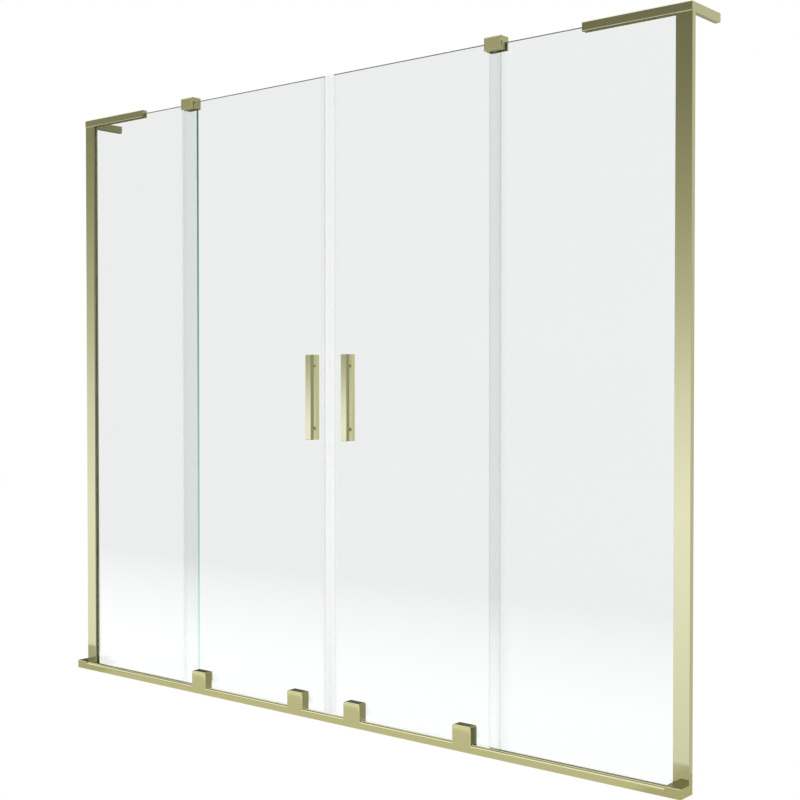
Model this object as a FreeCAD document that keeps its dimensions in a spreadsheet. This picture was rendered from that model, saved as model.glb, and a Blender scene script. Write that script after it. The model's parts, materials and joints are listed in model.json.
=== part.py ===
import FreeCAD, Part
import os
import re
import Sketcher
from FreeCAD import Vector

# Sliding bath screen for an alcove: two fixed panes held by wall profiles, and two doors in front of them
# that roll on a rail along the rim of the bath and meet in the middle.
# X runs from the left wall to the right wall, -Y faces the room, Z is up.
# The origin is the middle of the underside of the rail. Millimetres.

SIZES = {
    # overall
    "screen_width": 1836.0,
    "screen_height": 1500.0,
    "glass_thickness": 6.0,
    "glass_arris": 1.0,
    # rail along the rim
    "rail_depth": 12.0,
    "rail_height": 16.5,
    "rail_round": 5.0,
    "rail_wall": 2.0,
    "rail_roof": 3.5,
    "foot_depth": 8.0,
    "foot_height": 3.0,
    "bead_setback": 7.5,
    "bead_radius": 1.5,
    # blocks at the ends of the rail
    "block_height": 20.0,
    "block_round": 1.5,
    "spigot_length": 25.0,
    "spigot_clear": 0.3,
    "stub_height": 12.0,
    # wall profiles
    "upright_setback": 33.7,
    "upright_width": 34.8,
    "upright_face": 2.2,
    "upright_rear": 1.4,
    "upright_web": 2.0,
    "upright_round": 0.8,
    "wall_hole_radius": 2.75,
    "wall_hole_inset": 150.0,
    # fixed panes and their seals
    "left_pane_reach": 449.5,
    "right_pane_reach": 472.6,
    "pane_edge_gap": 14.0,
    "gasket_face": 2.5,
    "gasket_rear": 0.9,
    "gasket_base": 2.0,
    "sill_base": 4.0,
    "sill_leg": 2.0,
    "sill_height": 8.0,
    "seat_clear": 0.3,
    # brackets over the tops of the fixed panes
    "bracket_length": 242.0,
    "bracket_height": 18.7,
    "bracket_cap": 7.0,
    "bracket_proud": 1.5,
    "bracket_round": 1.6,
    "arm_reach": 115.3,
    "arm_thickness": 12.0,
    "liner_wall": 1.0,
    "set_screw_radius": 2.5,
    "set_screw_inset": 40.0,
    "set_screw_key": 1.45,
    "set_screw_key_depth": 2.0,
    "thread_clear": 0.1,
    # doors
    "pane_gap": 8.8,
    "door_overlap": 39.0,
    "door_sill_gap": 9.0,
    "door_top_drop": 1.0,
    "door_travel": 360.0,
    # guides at the top corners of the fixed panes
    "guide_width": 42.5,
    "guide_height": 28.5,
    "guide_over": 12.0,
    "guide_jaw": 3.2,
    "guide_back_jaw": 5.6,
    "guide_end_wall": 1.5,
    "guide_roof": 9.0,
    "guide_round": 1.0,
    "guide_chamfer": 2.5,
    "insert_wall": 0.8,
    "slide_clear": 0.4,
    "guide_screw_radius": 2.0,
    "guide_screw_length": 12.0,
    "guide_screw_head_radius": 3.6,
    "guide_screw_head": 4.0,
    "guide_screw_inset": 19.0,
    # trolleys at the bottom corners of the doors
    "trolley_width": 49.3,
    "trolley_rise": 39.9,
    "trolley_inset_inner": 50.6,
    "trolley_inset_outer": 57.5,
    "trolley_proud": 1.2,
    "trolley_lap": 0.3,
    "trolley_tail": 8.0,
    "trolley_corner": 6.0,
    "trolley_round": 3.0,
    "trolley_clear": 0.4,
    "pad_thickness": 1.8,
    "clamp_thickness": 4.0,
    "clamp_height": 22.4,
    "clamp_drop": 4.0,
    "clamp_margin": 1.6,
    "clamp_round": 1.0,
    "trolley_screw_radius": 2.5,
    "trolley_screw_head_radius": 4.6,
    "trolley_screw_spread": 7.0,
    "trolley_screw_drop": 12.4,
    "trolley_screw_grip": 8.0,
    "trolley_screw_key": 1.7,
    "trolley_screw_key_depth": 1.8,
    "pad_inset": 1.0,
    "glass_hole_clear": 2.0,
    # rollers and their axles
    "roller_radius": 11.5,
    "roller_width": 7.0,
    "roller_gap": 0.3,
    "roller_pocket": 1.0,
    "roller_side_gap": 0.5,
    "roller_chamfer": 0.6,
    "axle_radius": 3.0,
    "axle_clear": 0.05,
    "axle_front_wall": 2.6,
    # stops behind the rail
    "stop_length": 22.0,
    "stop_height": 14.0,
    "stop_gap": 0.5,
    "stop_round": 1.5,
    # handles
    "handle_length": 199.0,
    "handle_width": 16.8,
    "handle_depth": 11.1,
    "handle_centre": 748.4,
    "handle_inset": 33.2,
    "handle_round": 1.0,
    "stud_pitch": 147.0,
    "stud_radius": 3.0,
    "stud_grip": 8.0,
    "washer_radius": 7.0,
    "washer_thickness": 1.0,
    # seals on the doors
    "meeting_reach": 14.3,
    "meeting_gap": 0.2,
    "meeting_lap": 10.0,
    "seal_wall": 1.2,
    "magnet_width": 5.0,
    "edge_seal_lap": 8.0,
    "edge_seal_nose": 3.0,
    "edge_seal_top_gap": 5.0,
    "fin_clear": 0.5,
    "drip_wall": 1.5,
    "drip_leg": 8.0,
    "drip_lip": 4.0,
    "drip_slant": 2.0,
    "drip_end_gap": 12.0,
}

# Planes from front to back, as sums of the sizes above
RAIL_FRONT = "(-(rail_depth + foot_depth) / 2)"
RAIL_BACK = f"({RAIL_FRONT} + rail_depth)"
FOOT_BACK = f"({RAIL_BACK} + foot_depth)"
CAVITY_FRONT = f"({RAIL_FRONT} + rail_wall)"
CAVITY_BACK = f"({RAIL_BACK} - rail_wall)"
BEAD_LINE = f"({RAIL_FRONT} + bead_setback)"
UPRIGHT_FRONT = f"({RAIL_FRONT} + upright_setback)"
CHANNEL_FRONT = f"({UPRIGHT_FRONT} + upright_face)"
FIXED_FRONT = f"({CHANNEL_FRONT} + gasket_face)"
FIXED_BACK = f"({FIXED_FRONT} + glass_thickness)"
CHANNEL_BACK = f"({FIXED_BACK} + gasket_rear)"
UPRIGHT_BACK = f"({CHANNEL_BACK} + upright_rear)"
DOOR_BACK = f"({FIXED_FRONT} - pane_gap)"
DOOR_FRONT = f"({DOOR_BACK} - glass_thickness)"
BRACKET_FRONT = f"({UPRIGHT_FRONT} - bracket_proud)"
BRACKET_BACK = f"({UPRIGHT_BACK} + bracket_proud)"
ARM_BACK = f"({UPRIGHT_FRONT} + arm_reach)"
SLOT_FRONT = f"({DOOR_FRONT} - slide_clear - insert_wall)"
SLOT_BACK = f"({DOOR_BACK} + slide_clear + insert_wall)"
GUIDE_FRONT = f"({SLOT_FRONT} - guide_jaw)"
GUIDE_BACK = f"({FIXED_BACK} + seat_clear + guide_back_jaw)"
TROLLEY_FRONT = f"({RAIL_FRONT} - trolley_proud)"
TROLLEY_BACK = f"({DOOR_FRONT} - pad_thickness)"
CLAMP_FRONT = f"({DOOR_BACK} + pad_thickness)"
CLAMP_BACK = f"({CLAMP_FRONT} + clamp_thickness)"
FRONT_BAR_BACK = f"({DOOR_FRONT} - washer_thickness)"
FRONT_BAR_FRONT = f"({FRONT_BAR_BACK} - handle_depth)"
REAR_BAR_FRONT = f"({DOOR_BACK} + washer_thickness)"
REAR_BAR_BACK = f"({REAR_BAR_FRONT} + handle_depth)"

# Levels from the rim of the bath upwards
CAVITY_TOP = "(rail_height - rail_roof)"
BRACKET_BOTTOM = "(screen_height - bracket_height)"
BRACKET_SLOT_TOP = "(screen_height - bracket_cap)"
FIXED_TOP = f"({BRACKET_SLOT_TOP} - liner_wall)"
DOOR_TOP = f"({FIXED_TOP} - door_top_drop)"
GUIDE_TOP = f"({FIXED_TOP} + guide_over)"
GUIDE_BOTTOM = f"({GUIDE_TOP} - guide_height)"
GUIDE_SLOT_TOP = f"({GUIDE_TOP} - guide_roof)"
TROLLEY_TOP = "(rail_height + trolley_rise)"
AXLE_LEVEL = "(rail_height + roller_gap + roller_radius)"
SCREW_LEVEL = f"({TROLLEY_TOP} - trolley_screw_drop)"
CLAMP_TOP = f"({TROLLEY_TOP} - clamp_drop)"
CLAMP_BOTTOM = f"({CLAMP_TOP} - clamp_height)"

# Distances from the middle of the screen towards a wall
WALL = "(screen_width / 2)"
UPRIGHT_INNER = f"({WALL} - upright_width)"
PANE_OUTER = f"({WALL} - pane_edge_gap)"
BRACKET_END = f"({WALL} - bracket_length)"

# Half the width of a clamp plate, round its two screws
CLAMP_HALF = "(trolley_screw_spread + trolley_screw_head_radius + clamp_margin)"

doc = FreeCAD.newDocument("bath_screen")
sheet = doc.addObject("Spreadsheet::Sheet", "sizes")
for row, (alias, value) in enumerate(SIZES.items(), 1):
    sheet.set(f"A{row}", alias)
    sheet.set(f"B{row}", str(value))
    sheet.setAlias(f"B{row}", alias)
doc.recompute()

pieces = []


def cells(text):
    """Turn the words of a formula into references to cells of the sheet."""
    return re.sub(r"[a-z]\w*", lambda word: "sizes." + word.group(0), str(text))


def value_of(text):
    """The present value of a formula."""
    return float(sheet.evalExpression(cells(text)))


class Side:
    """One half of the screen; distances count from the middle towards that half's wall."""

    def __init__(self, name, sign):
        self.name = name
        self.sign = sign
        self.free_edge = f"({WALL} - {name}_pane_reach)"
        self.door_outer = f"({self.free_edge} + door_overlap)"
        self.guide_inner = f"({self.free_edge} - guide_end_wall)"
        self.guide_outer = f"({self.guide_inner} + guide_width)"
        self.trolleys = {
            "inner": "(meeting_reach + trolley_inset_inner + trolley_width / 2)",
            "outer": f"({self.door_outer} - trolley_inset_outer - trolley_width / 2)",
        }
        self.handle = "(meeting_reach + handle_inset + handle_width / 2)"

    def at(self, distance):
        """X of a distance from the middle."""
        return f"({self.sign} * ({distance}))"

    def span(self, near, far):
        """Lower and upper X of the stretch between two distances."""
        ends = (self.at(near), self.at(far))
        return ends if self.sign > 0 else ends[::-1]


SIDES = (Side("left", -1), Side("right", 1))


def new_body(label):
    """An empty body; its label names the piece."""
    body = doc.addObject("PartDesign::Body", label)
    body.Label = label
    pieces.append(body)
    return body


def new_sketch(body, role, offset):
    """A sketch on one of the body's own planes, moved along the plane's normal."""
    sketch = body.newObject("Sketcher::SketchObject", f"{body.Label}_sketch")
    planes = {feature.Role: feature for feature in body.Origin.OriginFeatures}
    sketch.AttachmentSupport = [(planes[role], "")]
    sketch.MapMode = "FlatFace"
    sketch.setExpression("AttachmentOffset.Base.z", cells(offset))
    return sketch


def pin_point(sketch, geometry, place, across, up):
    """Hold a point of a sketch at two formulas."""
    for kind, text in (("DistanceX", across), ("DistanceY", up)):
        number = sketch.addConstraint(Sketcher.Constraint(kind, -1, 1, geometry, place, value_of(text)))
        sketch.setExpression(f"Constraints[{number}]", cells(text))


def draw_outline(sketch, corners):
    """Draw a closed outline of straight lines through corners given as formulas."""
    first = sketch.GeometryCount
    count = len(corners)
    points = [Vector(value_of(across), value_of(up), 0) for across, up in corners]
    for index in range(count):
        sketch.addGeometry(Part.LineSegment(points[index], points[(index + 1) % count]))
    for index in range(count):
        following = first + (index + 1) % count
        sketch.addConstraint(Sketcher.Constraint("Coincident", first + index, 2, following, 1))
    for index, (across, up) in enumerate(corners):
        pin_point(sketch, first + index, 1, across, up)


def draw_circle(sketch, across, up, radius):
    """Draw a circle whose centre and radius are formulas."""
    centre = Vector(value_of(across), value_of(up), 0)
    index = sketch.addGeometry(Part.Circle(centre, Vector(0, 0, 1), value_of(radius)))
    pin_point(sketch, index, 3, across, up)
    number = sketch.addConstraint(Sketcher.Constraint("Radius", index, value_of(radius)))
    sketch.setExpression(f"Constraints[{number}]", cells(radius))


def rectangle(left, right, low, high):
    """The four corners of a rectangle."""
    return [(left, low), (right, low), (right, high), (left, high)]


PLANES = {"x": "YZ_Plane", "y": "XZ_Plane", "z": "XY_Plane"}


def profile(body, axis, start, end, outlines=(), circles=()):
    """A sketch square to an axis, ready to run from start to end along it, and its length."""
    offset = f"-({end})" if axis == "y" else start
    sketch = new_sketch(body, PLANES[axis], offset)
    for corners in outlines:
        draw_outline(sketch, corners)
    for circle in circles:
        draw_circle(sketch, *circle)
    return sketch, f"({end}) - ({start})"


def extrude(body, axis, start, end, outlines=(), circles=()):
    """Add the prism of a profile between two places along an axis."""
    sketch, length = profile(body, axis, start, end, outlines, circles)
    pad = body.newObject("PartDesign::Pad", f"{body.Label}_pad")
    pad.Profile = sketch
    pad.setExpression("Length", cells(length))
    doc.recompute()
    return pad


def cut(body, axis, start, end, outlines=(), circles=()):
    """Cut the prism of a profile between two places along an axis."""
    before = body.Shape.Volume
    sketch, length = profile(body, axis, start, end, outlines, circles)
    pocket = body.newObject("PartDesign::Pocket", f"{body.Label}_pocket")
    pocket.Profile = sketch
    pocket.Reversed = True
    pocket.setExpression("Length", cells(length))
    doc.recompute()
    if body.Shape.Volume >= before:
        raise RuntimeError(f"{body.Label}: a cut removed nothing")
    return pocket


def edges_on(shape, places, closed):
    """Names of a shape's edges whose ends lie on the planes of any of the given places."""
    names = []
    for number, edge in enumerate(shape.Edges, 1):
        ends = [vertex.Point for vertex in edge.Vertexes]
        for place in places:
            levels = {axis: value_of(text) for axis, text in place.items()}
            on_planes = all(
                abs(getattr(end, axis) - level) < 1e-4 for end in ends for axis, level in levels.items()
            )
            if on_planes and edge.isClosed() == closed:
                names.append(f"Edge{number}")
                break
    return names


def dress(body, kind, size, *places, closed=False):
    """Round (Fillet) or bevel (Chamfer) the edges of a body that lie on the given places."""
    base = body.Tip
    names = edges_on(base.Shape, places, closed)
    feature = body.newObject(f"PartDesign::{kind}", f"{body.Label}_{kind.lower()}")
    feature.Base = (base, names)
    feature.setExpression("Radius" if kind == "Fillet" else "Size", cells(size))
    doc.recompute()
    return feature


def channel(left, right, low, high, floor, inner_left, inner_right):
    """Corners of a U that opens at high, with its floor at floor."""
    return [
        (left, low), (right, low), (right, high), (inner_right, high),
        (inner_right, floor), (inner_left, floor), (inner_left, high), (left, high),
    ]


def swap(corners):
    """The same corners with their two directions exchanged."""
    return [(up, across) for across, up in corners]


def hexagon(across, up, radius):
    """Corners of a hexagon socket."""
    steps = ((1, 0), (0.5, 0.866), (-0.5, 0.866), (-1, 0), (-0.5, -0.866), (0.5, -0.866))
    return [(f"{across} + {dx} * {radius}", f"{up} + {dz} * {radius}") for dx, dz in steps]


def build_rail():
    """Hollow rail with a rounded nose, a bead that carries the rollers and a foot behind."""
    rail = new_body("bottom_rail")
    ends = (f"-{UPRIGHT_INNER}", UPRIGHT_INNER)
    section = [
        (RAIL_FRONT, "0"), (FOOT_BACK, "0"), (FOOT_BACK, "foot_height"),
        (RAIL_BACK, "foot_height"), (RAIL_BACK, "rail_height"), (RAIL_FRONT, "rail_height"),
    ]
    cavity = rectangle(CAVITY_FRONT, CAVITY_BACK, "rail_wall", CAVITY_TOP)
    extrude(rail, "x", *ends, outlines=[section, cavity])
    extrude(rail, "x", *ends, circles=[(BEAD_LINE, "rail_height", "bead_radius")])
    dress(rail, "Fillet", "rail_round", {"y": RAIL_FRONT, "z": "rail_height"})


def build_end_block(side):
    """Block that ties the rail to a wall profile and seats the corner of the fixed pane."""
    block = new_body(f"{side.name}_end_block")
    inner, outer = side.at(UPRIGHT_INNER), side.at(WALL)
    extrude(block, "z", "0", "block_height", [rectangle(inner, outer, RAIL_FRONT, UPRIGHT_BACK)])
    dress(
        block, "Fillet", "block_round",
        {"y": RAIL_FRONT, "z": "block_height"},
        {"y": RAIL_FRONT, "x": inner},
        {"y": RAIL_FRONT, "x": outer},
    )
    slot = rectangle(
        inner, side.at(f"{PANE_OUTER} + seat_clear"),
        f"{FIXED_FRONT} - seat_clear", f"{FIXED_BACK} + seat_clear",
    )
    cut(block, "z", "sill_base", "block_height", [slot])
    spigot = rectangle(
        f"{CAVITY_FRONT} + spigot_clear", f"{CAVITY_BACK} - spigot_clear",
        "rail_wall + spigot_clear", f"{CAVITY_TOP} - spigot_clear",
    )
    extrude(block, "x", *side.span(f"{UPRIGHT_INNER} - spigot_length", UPRIGHT_INNER), [spigot])
    stub = rectangle(
        side.at(f"{PANE_OUTER} + gasket_base + spigot_clear"),
        side.at(f"{WALL} - upright_web - spigot_clear"),
        f"{CHANNEL_FRONT} + spigot_clear", f"{CHANNEL_BACK} - spigot_clear",
    )
    extrude(block, "z", "block_height", "block_height + stub_height", [stub])


def build_wall_profile(side):
    """Channel on the wall with a row of screw holes in its web."""
    upright = new_body(f"{side.name}_wall_profile")
    section = channel(
        UPRIGHT_FRONT, UPRIGHT_BACK, side.at(WALL), side.at(UPRIGHT_INNER),
        side.at(f"{WALL} - upright_web"), CHANNEL_FRONT, CHANNEL_BACK,
    )
    extrude(upright, "z", "block_height", BRACKET_BOTTOM, [swap(section)])
    dress(
        upright, "Fillet", "upright_round",
        {"x": side.at(UPRIGHT_INNER), "y": UPRIGHT_FRONT},
        {"x": side.at(WALL), "y": UPRIGHT_FRONT},
    )
    middle = f"({CHANNEL_FRONT} + {CHANNEL_BACK}) / 2"
    levels = ("wall_hole_inset", "screen_height / 2", "screen_height - wall_hole_inset")
    holes = [(middle, level, "wall_hole_radius") for level in levels]
    cut(upright, "x", *side.span(f"{WALL} - upright_web", WALL), circles=holes)


def build_fixed_pane(side):
    """Fixed pane with bevelled edges, the gasket in its profile and the seal under it."""
    glass = new_body(f"{side.name}_fixed_glass")
    sheet_outline = rectangle(side.at(side.free_edge), side.at(PANE_OUTER), "sill_base", FIXED_TOP)
    extrude(glass, "y", FIXED_FRONT, FIXED_BACK, [sheet_outline])
    dress(glass, "Chamfer", "glass_arris", {"y": FIXED_FRONT}, {"y": FIXED_BACK})

    gasket = new_body(f"{side.name}_glazing_gasket")
    section = channel(
        CHANNEL_FRONT, CHANNEL_BACK, side.at(f"{PANE_OUTER} + gasket_base"), side.at(UPRIGHT_INNER),
        side.at(PANE_OUTER), FIXED_FRONT, FIXED_BACK,
    )
    extrude(gasket, "z", "block_height", BRACKET_BOTTOM, [swap(section)])

    bed = new_body(f"{side.name}_bed_seal")
    section = channel(
        f"{FIXED_FRONT} - sill_leg", f"{FIXED_BACK} + sill_leg", "0", "sill_height",
        "sill_base", FIXED_FRONT, FIXED_BACK,
    )
    extrude(bed, "x", *side.span(side.free_edge, UPRIGHT_INNER), [section])


def bracket_screw_places(side):
    """Centres of the set screws in a bracket, across and up."""
    level = f"({BRACKET_BOTTOM} + {BRACKET_SLOT_TOP}) / 2"
    places = (f"{BRACKET_END} + set_screw_inset", f"{PANE_OUTER} - set_screw_inset")
    return [(side.at(place), level) for place in places]


def guide_screw_place(side):
    """Centre of the set screw in a guide, across and up."""
    return side.at(f"{side.guide_inner} + guide_width / 2"), f"({GUIDE_BOTTOM} + {FIXED_TOP}) / 2"


def build_top_bracket(side):
    """L-shaped bracket slotted over the top of the fixed pane, and the liner of its slot."""
    bracket = new_body(f"{side.name}_top_bracket")
    arm_face = side.at(f"{WALL} - arm_thickness")
    plan = [
        (side.at(BRACKET_END), BRACKET_FRONT), (side.at(WALL), BRACKET_FRONT), (side.at(WALL), ARM_BACK),
        (arm_face, ARM_BACK), (arm_face, BRACKET_BACK), (side.at(BRACKET_END), BRACKET_BACK),
    ]
    extrude(bracket, "z", BRACKET_BOTTOM, "screen_height", [plan])
    dress(
        bracket, "Fillet", "bracket_round",
        {"y": BRACKET_FRONT, "z": BRACKET_BOTTOM},
        {"y": BRACKET_FRONT, "z": "screen_height"},
        {"x": side.at(BRACKET_END), "y": BRACKET_FRONT},
        {"x": side.at(WALL), "z": BRACKET_BOTTOM},
        {"x": side.at(WALL), "z": "screen_height"},
        {"x": side.at(WALL), "y": BRACKET_FRONT},
    )
    slot = rectangle(
        side.at(BRACKET_END), side.at(f"{PANE_OUTER} + seat_clear"),
        f"{FIXED_FRONT} - liner_wall", f"{FIXED_BACK} + liner_wall",
    )
    cut(bracket, "z", BRACKET_BOTTOM, BRACKET_SLOT_TOP, [slot])
    holes = [(*place, "set_screw_radius") for place in bracket_screw_places(side)]
    cut(bracket, "y", f"{FIXED_BACK} + liner_wall", BRACKET_BACK, circles=holes)

    liner = new_body(f"{side.name}_bracket_liner")
    section = channel(
        f"{FIXED_FRONT} - liner_wall", f"{FIXED_BACK} + liner_wall", BRACKET_SLOT_TOP, BRACKET_BOTTOM,
        FIXED_TOP, FIXED_FRONT, FIXED_BACK,
    )
    extrude(liner, "x", *side.span(BRACKET_END, PANE_OUTER), [section])


def build_top_guide(side):
    """Guide clamped on the top corner of the fixed pane, with a lined slot for the door."""
    guide = new_body(f"{side.name}_top_guide")
    inner, outer = side.at(side.guide_inner), side.at(side.guide_outer)
    across = side.span(side.guide_inner, side.guide_outer)
    extrude(guide, "z", GUIDE_BOTTOM, GUIDE_TOP, [rectangle(inner, outer, GUIDE_FRONT, GUIDE_BACK)])
    dress(guide, "Chamfer", "guide_chamfer", {"y": GUIDE_FRONT})
    dress(guide, "Fillet", "guide_round", {"y": GUIDE_BACK})
    cut(guide, "x", *across, [rectangle(SLOT_FRONT, SLOT_BACK, GUIDE_BOTTOM, GUIDE_SLOT_TOP)])
    seat = rectangle(
        f"{FIXED_FRONT} - seat_clear", f"{FIXED_BACK} + seat_clear",
        GUIDE_BOTTOM, f"{FIXED_TOP} + seat_clear",
    )
    cut(guide, "x", *side.span(f"{side.free_edge} - seat_clear", side.guide_outer), [seat])
    hole = (*guide_screw_place(side), "set_screw_radius")
    cut(guide, "y", f"{FIXED_BACK} + seat_clear", GUIDE_BACK, circles=[hole])
    bolt = (*clamp_bolt_place(side), "guide_screw_radius")
    cut(guide, "z", GUIDE_BOTTOM, f"{GUIDE_BOTTOM} + guide_screw_length", circles=[bolt])

    insert = new_body(f"{side.name}_guide_insert")
    section = channel(
        SLOT_FRONT, SLOT_BACK, GUIDE_SLOT_TOP, GUIDE_BOTTOM, f"{GUIDE_SLOT_TOP} - insert_wall",
        f"{SLOT_FRONT} + insert_wall", f"{SLOT_BACK} - insert_wall",
    )
    extrude(insert, "x", *across, [section])


def clamp_bolt_place(side):
    """Centre of the upright screw in the middle wall of a guide, across and back."""
    middle_wall = f"({SLOT_BACK} + {FIXED_FRONT} - seat_clear) / 2"
    return side.at(f"{side.guide_inner} + guide_screw_inset"), middle_wall


def build_frame_screws():
    """Set screws behind the fixed panes, and the headed screws under the guides."""
    grub = new_body("set_screws")
    radius = "set_screw_radius - thread_clear"
    in_brackets = [place for side in SIDES for place in bracket_screw_places(side)]
    in_guides = [guide_screw_place(side) for side in SIDES]
    for places, front, back in (
        (in_brackets, f"{FIXED_BACK} + liner_wall", BRACKET_BACK),
        (in_guides, FIXED_BACK, GUIDE_BACK),
    ):
        extrude(grub, "y", front, back, circles=[(*place, radius) for place in places])
        keys = [hexagon(*place, "set_screw_key") for place in places]
        cut(grub, "y", f"{back} - set_screw_key_depth", back, keys)

    headed = new_body("guide_screws")
    places = [clamp_bolt_place(side) for side in SIDES]
    shanks = [(*place, "guide_screw_radius - thread_clear") for place in places]
    heads = [(*place, "guide_screw_head_radius") for place in places]
    under = f"{GUIDE_BOTTOM} - guide_screw_head"
    extrude(headed, "z", under, f"{GUIDE_BOTTOM} + guide_screw_length", circles=shanks)
    extrude(headed, "z", under, GUIDE_BOTTOM, circles=heads)
    keys = [hexagon(*place, "set_screw_key") for place in places]
    cut(headed, "z", under, f"{under} + set_screw_key_depth", keys)


def build_rail_stop(side):
    """Stop on the foot of the rail that a trolley meets when its door is fully open."""
    stop = new_body(f"{side.name}_rail_stop")
    start = f"({side.trolleys['outer']} + trolley_width / 2 + door_travel + stop_gap)"
    section = rectangle(RAIL_BACK, FOOT_BACK, "foot_height", "stop_height")
    extrude(stop, "x", *side.span(start, f"{start} + stop_length"), [section])
    dress(stop, "Fillet", "stop_round", {"y": FOOT_BACK, "z": "stop_height"})


def housing_screw_places(side, name):
    """Centres of the screws of one trolley, across and up."""
    place = side.trolleys[name]
    return [(side.at(f"{place} {step} trolley_screw_spread"), SCREW_LEVEL) for step in "-+"]


def trolley_screw_places(side):
    """Centres of the screws through a door's trolleys, across and up."""
    return [screw for name in side.trolleys for screw in housing_screw_places(side, name)]


def stud_places(side):
    """Centres of the studs of a handle, across and up."""
    return [(side.at(side.handle), f"handle_centre {step} stud_pitch / 2") for step in "-+"]


def build_door_glass(side):
    """Door pane with bevelled edges, drilled for its trolleys and handle."""
    glass = new_body(f"{side.name}_door_glass")
    sheet_outline = rectangle(side.at("meeting_reach"), side.at(side.door_outer), "door_sill_gap", DOOR_TOP)
    extrude(glass, "y", DOOR_FRONT, DOOR_BACK, [sheet_outline])
    dress(glass, "Chamfer", "glass_arris", {"y": DOOR_FRONT}, {"y": DOOR_BACK})
    holes = [(*place, "trolley_screw_radius + glass_hole_clear") for place in trolley_screw_places(side)]
    holes += [(*place, "stud_radius + glass_hole_clear") for place in stud_places(side)]
    cut(glass, "y", DOOR_FRONT, DOOR_BACK, circles=holes)


def build_handle(side):
    """Flat bars each side of the door, on two studs with bushes through the glass."""
    left = side.at(f"{side.handle} - handle_width / 2")
    right = side.at(f"{side.handle} + handle_width / 2")
    low, high = "(handle_centre - handle_length / 2)", "(handle_centre + handle_length / 2)"
    studs = stud_places(side)
    stud_front, stud_back = f"{FRONT_BAR_BACK} - stud_grip", f"{REAR_BAR_FRONT} + stud_grip"
    for name, front, back, outer, holes in (
        ("front", FRONT_BAR_FRONT, FRONT_BAR_BACK, FRONT_BAR_FRONT, (stud_front, FRONT_BAR_BACK)),
        ("rear", REAR_BAR_FRONT, REAR_BAR_BACK, REAR_BAR_BACK, (REAR_BAR_FRONT, stud_back)),
    ):
        bar = new_body(f"{side.name}_{name}_handle")
        extrude(bar, "y", front, back, [rectangle(left, right, low, high)])
        corners = [{"x": x, "z": z} for x in (left, right) for z in (low, high)]
        dress(bar, "Fillet", "handle_round", {"y": outer}, *corners)
        cut(bar, "y", *holes, circles=[(*place, "stud_radius") for place in studs])

    stud = new_body(f"{side.name}_handle_studs")
    circles = [(*place, "stud_radius - thread_clear") for place in studs]
    extrude(stud, "y", stud_front, stud_back, circles=circles)

    washer = new_body(f"{side.name}_handle_washers")
    bores = [(*place, "stud_radius") for place in studs]
    rings = [(*place, "washer_radius") for place in studs] + bores
    sleeves = [(*place, "stud_radius + glass_hole_clear - seat_clear") for place in studs] + bores
    extrude(washer, "y", FRONT_BAR_BACK, DOOR_FRONT, circles=rings)
    extrude(washer, "y", DOOR_FRONT, f"{DOOR_BACK} - seat_clear", circles=sleeves)
    extrude(washer, "y", DOOR_BACK, REAR_BAR_FRONT, circles=rings)


def build_door_seals(side):
    """Extrusions on a door's edges: magnet seal at the middle, fin at the outer edge, drip seal below."""
    front, back = f"({DOOR_FRONT} - seal_wall)", f"({DOOR_BACK} + seal_wall)"
    seal = new_body(f"{side.name}_magnet_seal")
    magnet_near = "(meeting_gap + seal_wall)"
    magnet_far = f"({magnet_near} + magnet_width)"
    section = channel(
        front, back, side.at("meeting_gap"), side.at("meeting_reach + meeting_lap"),
        side.at("meeting_reach"), DOOR_FRONT, DOOR_BACK,
    )
    magnet_cell = rectangle(side.at(magnet_near), side.at(magnet_far), DOOR_FRONT, DOOR_BACK)
    hollow = rectangle(
        side.at(f"{magnet_far} + seal_wall"), side.at("meeting_reach - seal_wall"), DOOR_FRONT, DOOR_BACK,
    )
    extrude(seal, "z", "door_sill_gap", DOOR_TOP, [swap(section), magnet_cell, hollow])

    strip = new_body(f"{side.name}_magnet_strip")
    extrude(strip, "z", "door_sill_gap", DOOR_TOP, [magnet_cell])

    edge = new_body(f"{side.name}_edge_seal")
    lap = side.at(f"{side.door_outer} - edge_seal_lap")
    rim = side.at(side.door_outer)
    nose = side.at(f"{side.door_outer} + edge_seal_nose")
    fin = side.at(f"{side.door_outer} + edge_seal_nose - seal_wall")
    tip = f"{FIXED_FRONT} - fin_clear"
    section = [
        (lap, front), (nose, front), (nose, tip), (fin, tip), (fin, back), (lap, back),
        (lap, DOOR_BACK), (rim, DOOR_BACK), (rim, DOOR_FRONT), (lap, DOOR_FRONT),
    ]
    extrude(edge, "z", "door_sill_gap", f"{GUIDE_BOTTOM} - edge_seal_top_gap", [section])

    drip = new_body(f"{side.name}_drip_seal")
    base = "(door_sill_gap - drip_wall)"
    lip = f"({base} - drip_lip)"
    leg_top = "door_sill_gap + drip_leg"
    outer_back = f"({DOOR_BACK} + drip_wall)"
    section = [
        (f"{DOOR_FRONT} - drip_wall", base), (f"{DOOR_FRONT} - drip_wall", leg_top), (DOOR_FRONT, leg_top),
        (DOOR_FRONT, "door_sill_gap"), (DOOR_BACK, "door_sill_gap"), (DOOR_BACK, leg_top),
        (outer_back, leg_top), (outer_back, base),
        (f"{outer_back} + drip_slant", lip), (f"{DOOR_BACK} + drip_slant", lip), (DOOR_BACK, base),
    ]
    start, end = "meeting_reach + meeting_lap + seat_clear", f"{side.door_outer} - drip_end_gap"
    extrude(drip, "x", *side.span(start, end), [section])


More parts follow.
